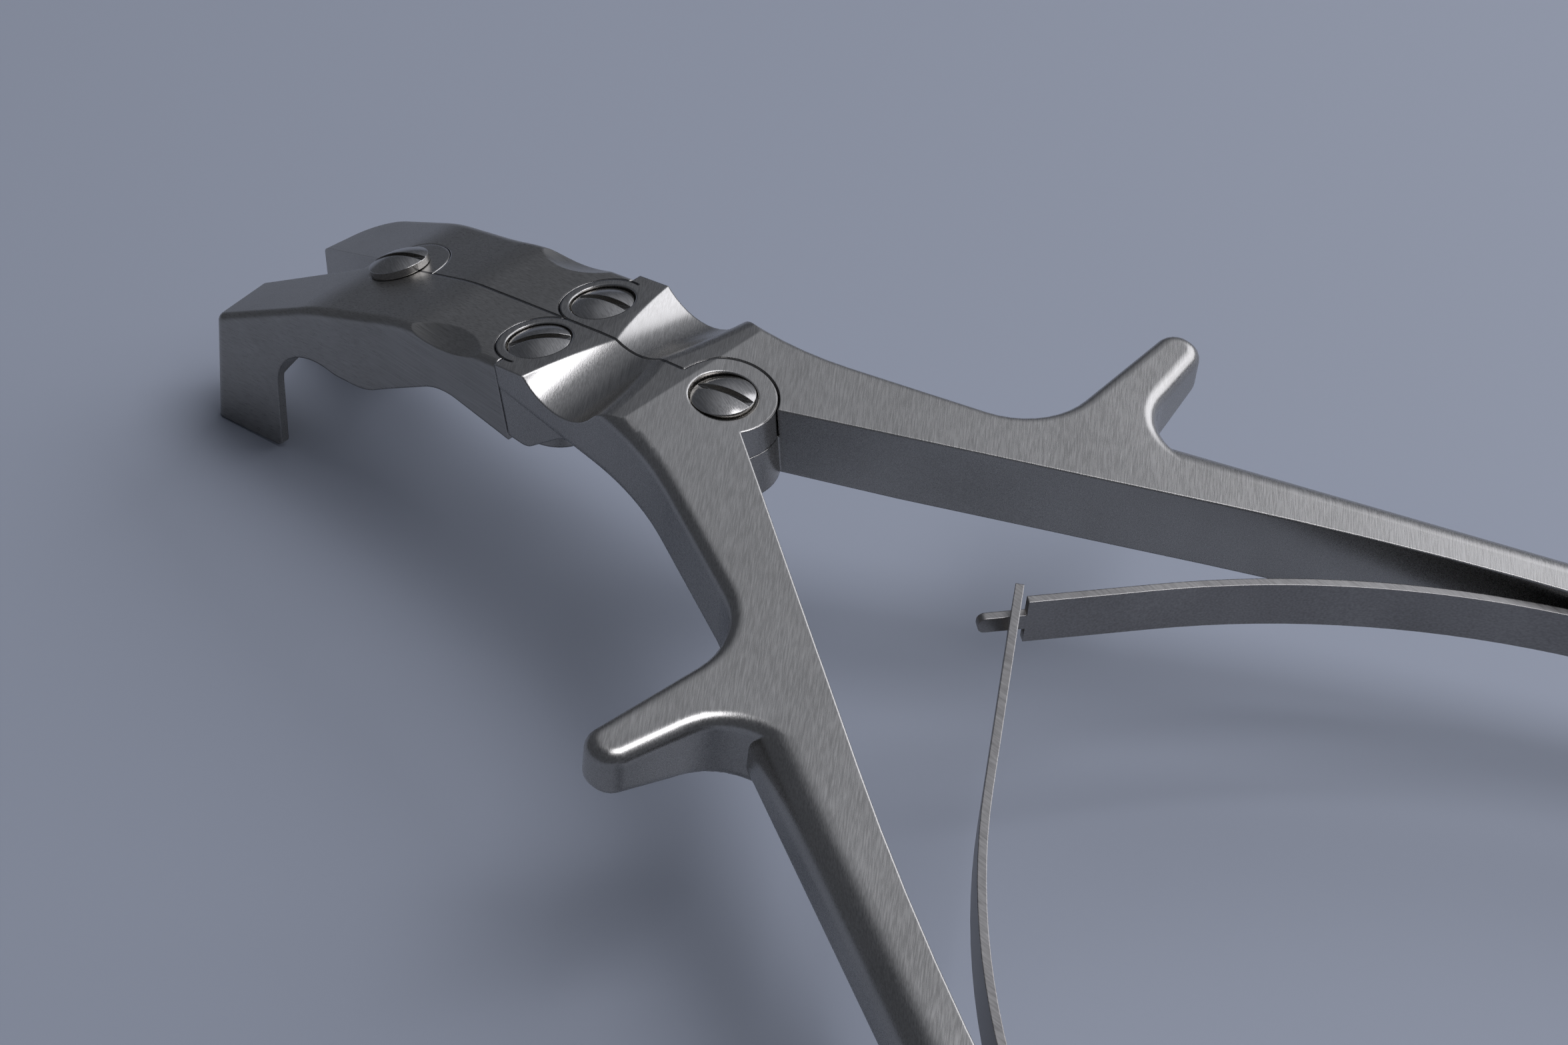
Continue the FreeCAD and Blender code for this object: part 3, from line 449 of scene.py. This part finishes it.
@dataclass
class LinkedAssembly(Assembly):
    """A group of CAD nodes that meet in the ears at the two link pivots."""

    link_ear_mm: float = 4.66
    link_start_mm: float = -1.0

    def link_painted_gap_shades(self) -> list[PaintedGapShade]:
        """Run a painted shade line round the jaws' side of both link pivots.

        Returns:
            The two painted shade lines.
        """
        return [PaintedGapShade(*self.pivot(joint), TO_JAWS, self.link_start_mm, self.link_ear_mm)
                for joint in LINK_JOINTS]


@dataclass
class Handles(LinkedAssembly):
    """The two handles, with their finger spurs and pivot ears."""

    ear_mm: float = 5.66
    # Satin stainless steel: belt brushed across the flat top, so highlights smear along the handle.
    finish: BrushedSteel = BrushedSteel(
        "satin_stainless_handle", light="#b2afaa", dark="#9b9893", roughness=0.27,
        grain=Grain.ACROSS, line_mm=0.14, run_mm=7.0, depth=0.3)

    def build(self) -> None:
        """Dress both handles."""
        centre, axis = self.pivot("handle_squeeze")
        # Painted shade lines round the ear and where the handles meet.
        round_ear = PaintedGapShade(centre, axis, TO_SIDE_B, radius_mm=self.ear_mm)
        before_ear = PaintedGapShade(centre, axis, TO_JAWS, start_mm=self.ear_mm)
        painted_gap_shades = (round_ear, before_ear, *self.link_painted_gap_shades())
        steel = replace(self.finish, painted_gap_shades=painted_gap_shades).material()
        for side in SIDES:
            self.dress(f"handle_{side}", steel)


@dataclass
class Jaws(LinkedAssembly):
    """The two jaws, from their link ears to the hooked points."""

    # Satin stainless steel like the handles, brushed lengthwise and a little darker.
    finish: BrushedSteel = BrushedSteel(
        "satin_stainless_jaw", light="#aeaba6", dark="#98958f", roughness=0.3,
        grain=Grain.ALONG, line_mm=0.14, run_mm=7.0, depth=0.3)

    def build(self) -> None:
        """Dress both jaws."""
        # Painted shade lines round the link ears and between the jaws.
        between_jaws = PaintedGapShade(*self.pivot("jaw_a_swing"), TO_JAWS)
        steel = replace(self.finish, painted_gap_shades=(*self.link_painted_gap_shades(), between_jaws)).material()
        for side in SIDES:
            self.dress(f"jaw_{side}", steel)


@dataclass
class Screws(Assembly):
    """The pivot screws and the screws that hold the springs."""

    names: tuple[str, ...] = ("proximal_pivot_screw", "link_screw_a", "link_screw_b",
                              "distal_pivot_screw", "spring_screw_a", "spring_screw_b")
    # Turned and polished stainless steel: a smoother dome, which mirrors the lights sharply.
    finish: BrushedSteel = BrushedSteel(
        "polished_stainless_screw", light="#b9b6b1", dark="#95928e", roughness=0.2,
        grain=Grain.DOME, line_mm=0.12, run_mm=2.0, depth=0.15, edge_mm=0.12)

    def build(self) -> None:
        """Dress every screw."""
        steel = self.finish.material()
        for name in self.names:
            self.dress(name, steel)


@dataclass
class Springs(Assembly):
    """The two leaf springs that push the handles apart.
    """

    bend_share: float = 0.7
    crease_degrees: float = 30.0
    merge_mm: float = 0.001
    # Rolled spring steel: an even matt grey with lines along the strip.
    finish: BrushedSteel = BrushedSteel(
        "rolled_spring_steel", light="#a19e9a", dark="#85827f", roughness=0.36,
        grain=Grain.ALONG, line_mm=0.2, run_mm=14.0, depth=0.3, edge_mm=0.15)

    def strip(self, side: str, steel: bpy.types.Material) -> bpy.types.Object:
        """Make a strip with the form of its solid.

        Args:
            side: The letter of the handle that carries the spring.
            steel: The finish.

        Returns:
            The piece that stands for the spring.
        """
        node = f"leaf_spring_{side}"
        mesh = bpy.data.meshes.new(f"bending_spring_{side}")
        shape = bmesh.new()
        shape.from_mesh(self.frame["nodes"][node].data)
        bmesh.ops.remove_doubles(shape, verts=shape.verts, dist=self.merge_mm * MM)
        shape.to_mesh(mesh)
        shape.free()
        if "custom_normal" in mesh.attributes:
            mesh.attributes.remove(mesh.attributes["custom_normal"])
        mesh.shade_smooth()
        mesh.set_sharp_from_angle(angle=radians(self.crease_degrees))
        mesh.materials.clear()
        mesh.materials.append(steel)
        piece = put(f"bending_spring_{side}", mesh)
        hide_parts(node)
        return piece

    def build(self) -> None:
        """Make both springs."""
        steel = self.finish.material()
        for side in SIDES:
            piece = self.strip(side, steel)
            root = Vector(self.pivot(f"spring_{side}_flex")[0])
            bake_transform(piece)


@dataclass
class Softbox:
    """A rectangular lamp that hangs in the studio and shines at the tool, in metres and watts."""

    name: str
    place: tuple[float, float, float]
    size: tuple[float, float]
    power: float
    colour: str
    target: tuple[float, float, float] = (0.0, 0.0, 0.02)

    def build(self) -> None:
        """Hang the lamp."""
        lamp = bpy.data.lights.new(self.name, "AREA")
        lamp.shape = "RECTANGLE"
        lamp.size, lamp.size_y = self.size
        lamp.energy = self.power
        lamp.color = srgb(self.colour)[:3]
        held = put(self.name, lamp)
        way = Vector(self.target) - Vector(self.place)
        turn = way.to_track_quat("-Z", "Y").to_matrix().to_4x4()
        held.matrix_world = Matrix.Translation(self.place) @ turn
        log.info("lamp %s", self.name)


@dataclass
class Studio:
    """The pale table top and the soft light of the photograph.

    Attributes:
        table: The colour of the table top.
        table_cloud_mm: The size of the patches that change its roughness.
        table_roughness: The least and the greatest roughness.
        far_way: The direction in which the surroundings are brightest.
        sky_fade: The cosines to that direction at which they begin to brighten and are full.
    """

    table: str = "#9ba0ab"
    table_cloud_mm: float = 120.0
    table_roughness: tuple[float, float] = (0.55, 0.65)
    floor_size: float = 40.0
    sky_far: str = "#c9ceda"
    sky_near: str = "#646871"
    sky_strength: float = 0.75
    sky_fade: tuple[float, float] = (0.4, 0.98)
    far_way: tuple[float, float, float] = (0.12, 0.70, 0.704)
    lamps: list[Softbox] = field(default_factory=lambda: [
        Softbox("window_light", place=(0.24, 0.98, 0.62), size=(1.3, 0.8), power=6.0, colour="#f2f5ff"),
        Softbox("overhead_light", place=(0.35, 0.3, 1.15), size=(0.7, 0.7), power=7.0, colour="#f4f6ff"),
    ])

    def floor_material(self) -> bpy.types.Material:
        """Make the table top's finish.

        Returns:
            A matt laminate with a faint unevenness.
        """
        made = bpy.data.materials.new("matt_laminate_table")
        tree = empty_tree(made)
        place = add_node(tree, "TexCoord").outputs["Object"]
        cloud = add_node(tree, "TexNoise", Vector=place, Scale=1 / (self.table_cloud_mm * MM))
        rough = remap(tree, cloud.outputs["Fac"], (0.0, 1.0), self.table_roughness)
        plastic = add_node(tree, "BsdfPrincipled", Base_Color=srgb(self.table), Roughness=rough)
        add_node(tree, "OutputMaterial", Surface=plastic.outputs["BSDF"])
        return made

    def build_floor(self) -> None:
        """Lay the table top."""
        mesh = bpy.data.meshes.new("table_top")
        shape = bmesh.new()
        bmesh.ops.create_grid(shape, x_segments=1, y_segments=1, size=self.floor_size / 2)
        shape.to_mesh(mesh)
        shape.free()
        floor = put("table_top", mesh)
        floor.data.materials.append(self.floor_material())

    def build_surroundings(self) -> None:
        """Make the room that the steel mirrors: bright beyond the tool, dark behind the camera."""
        world = bpy.data.worlds.new("studio_air")
        bpy.context.scene.world = world
        tree = empty_tree(world)
        way = add_node(tree, "TexCoord").outputs["Generated"]
        facing = measure(tree, "DOT_PRODUCT", way, self.far_way)
        share = remap(tree, facing, self.sky_fade, curve="SMOOTHSTEP")
        tint = mix_colours(tree, srgb(self.sky_near), srgb(self.sky_far), share)
        air = add_node(tree, "Background", Color=tint, Strength=self.sky_strength)
        add_node(tree, "OutputWorld", Surface=air.outputs["Background"])

    def build(self) -> None:
        """Make the table top, the surroundings and the lamps."""
        self.build_floor()
        self.build_surroundings()
        for lamp in self.lamps:
            lamp.build()


@dataclass(frozen=True)
class PhotoCamera:
    """The camera at the photograph's place, direction and focal length.

    Attributes:
        heading: The direction in which it looks, in degrees from +X towards +Y.
        dip: How many degrees it looks down.
        roll: Its turn about its own line of sight, in degrees.
    """

    place_mm: tuple[float, float, float] = (164.12, -229.713, 290.338)
    heading: float = 134.017
    dip: float = 40.146
    roll: float = -0.229
    lens_mm: float = 93.12
    sensor_mm: float = 36.0
    near_m: float = 0.01

    def build(self) -> None:
        """Set up the camera and make it the scene's."""
        data = bpy.data.cameras.new("photo_camera")
        data.sensor_width = self.sensor_mm
        data.sensor_fit = "HORIZONTAL"
        data.lens = self.lens_mm
        data.clip_start = self.near_m
        held = put("photo_camera", data)
        turn = (Matrix.Rotation(radians(self.heading - RIGHT_ANGLE), 4, "Z")
                @ Matrix.Rotation(radians(RIGHT_ANGLE - self.dip), 4, "X")
                @ Matrix.Rotation(radians(self.roll), 4, "Z"))
        held.matrix_world = Matrix.Translation(Vector(self.place_mm) * MM) @ turn
        bpy.context.scene.camera = held


def main() -> None:
    """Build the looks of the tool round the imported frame."""
    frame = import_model()
    for group in (Handles(frame), Jaws(frame), Screws(frame), Springs(frame)):
        group.build()
    Studio().build()
    PhotoCamera().build()
    bpy.context.scene.view_settings.view_transform = "Standard"


if __name__ == "__main__":
    logging.basicConfig(level=logging.INFO)
    main()
